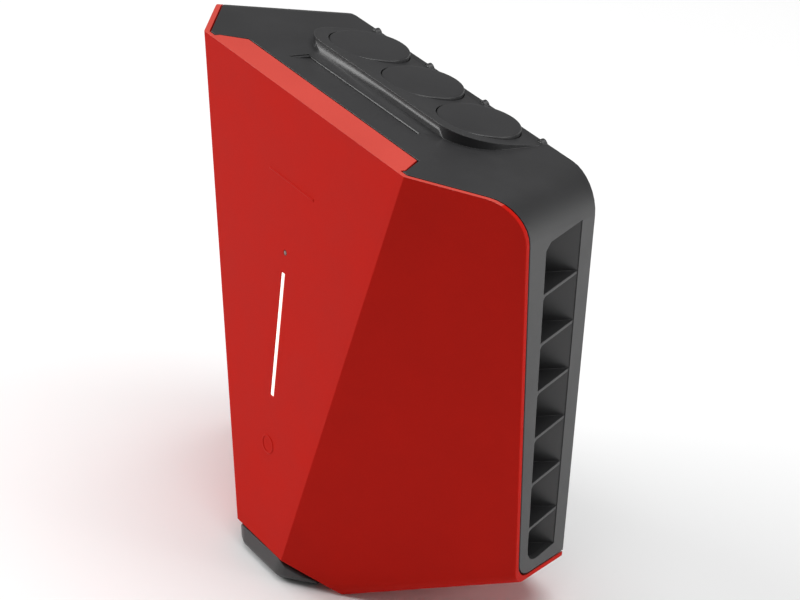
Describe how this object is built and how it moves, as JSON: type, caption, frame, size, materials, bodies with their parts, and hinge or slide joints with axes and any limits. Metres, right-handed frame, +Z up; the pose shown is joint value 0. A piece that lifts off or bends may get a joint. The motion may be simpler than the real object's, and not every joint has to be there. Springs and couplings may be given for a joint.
{
  "type": "solid_state_storage_unit",
  "caption": "Wall-hung solid-state storage unit with a red faceted clip-on cover over a dark vented housing, round port plugs on its sloping top and a slim light bar.",
  "frame": {"origin": "middle of the rear face, on the wall plane", "axes": "+X to the right seen from the front, +Y into the wall, +Z up"},
  "size_m": [0.193, 0.0844, 0.1899],
  "materials": {
    "red_plastic": "fine satin texture",
    "dark_plastic": "fine satin texture",
    "seal_rubber": "moulded",
    "light_plastic": "lit, translucent",
    "board_laminate": "solder resist",
    "chip_epoxy": "moulded epoxy",
    "thermal_silicone": "soft sheet",
    "aluminium": "extruded",
    "zinc_steel": "zinc plated",
    "brass": "turned",
    "connector_plastic": "moulded"
  },
  "bodies": {
    "unit": {"back_plate": "dark_plastic", "back_screw_1": "zinc_steel", "back_screw_2": "zinc_steel", "back_screw_3": "zinc_steel", "back_screw_4": "zinc_steel", "back_seal": "seal_rubber", "board_connector": "connector_plastic", "board_screw_1": "zinc_steel", "board_screw_2": "zinc_steel", "board_screw_3": "zinc_steel", "board_screw_4": "zinc_steel", "controller_chip": "chip_epoxy", "dram_chip": "chip_epoxy", "fan_frame": "dark_plastic", "fan_screw_1": "zinc_steel", "fan_screw_2": "zinc_steel", "fan_screw_3": "zinc_steel", "fan_screw_4": "zinc_steel", "heat_sink": "aluminium", "hold_up_capacitor_1": "aluminium", "hold_up_capacitor_2": "aluminium", "hold_up_capacitor_3": "aluminium", "housing": "dark_plastic", "lead_1": "seal_rubber", "lead_2": "seal_rubber", "lead_3": "seal_rubber", "led_board": "board_laminate", "light_pipe": "light_plastic", "main_board": "board_laminate", "nand_chip_1": "chip_epoxy", "nand_chip_2": "chip_epoxy", "nand_chip_3": "chip_epoxy", "nand_chip_4": "chip_epoxy", "plug_seal_1": "seal_rubber", "plug_seal_2": "seal_rubber", "plug_seal_3": "seal_rubber", "port_bracket": "zinc_steel", "port_socket_1": "zinc_steel", "port_socket_2": "zinc_steel", "port_socket_3": "zinc_steel", "standoff_1": "brass", "standoff_2": "brass", "standoff_3": "brass", "standoff_4": "brass", "status_lens": "light_plastic", "thermal_pad": "thermal_silicone", "vent_grille_left": "dark_plastic", "vent_grille_right": "dark_plastic"},
    "cover": {"front_cover": "red_plastic", "chin_cap": "dark_plastic"},
    "plug_1": {"port_plug_1": "dark_plastic"},
    "plug_2": {"port_plug_2": "dark_plastic"},
    "plug_3": {"port_plug_3": "dark_plastic"},
    "fan": {"fan_rotor": "dark_plastic"}
  },
  "joints": [
    {"name": "cover_slide", "type": "slide", "parent": "unit", "child": "cover", "axis": [0, -1, 0], "range_m": [0, 0.13]},
    {"name": "plug_1_slide", "type": "slide", "parent": "unit", "child": "plug_1", "axis": [0, 0.1977, 0.9803], "range_m": [0, 0.03]},
    {"name": "plug_2_slide", "type": "slide", "parent": "unit", "child": "plug_2", "axis": [0, 0.1977, 0.9803], "range_m": [0, 0.03]},
    {"name": "plug_3_slide", "type": "slide", "parent": "unit", "child": "plug_3", "axis": [0, 0.1977, 0.9803], "range_m": [0, 0.03]},
    {"name": "fan_spin", "type": "hinge", "parent": "unit", "child": "fan", "pos_m": [0, -0.0437, 0.0077], "axis": [0, 1, 0], "continuous": true}
  ]
}
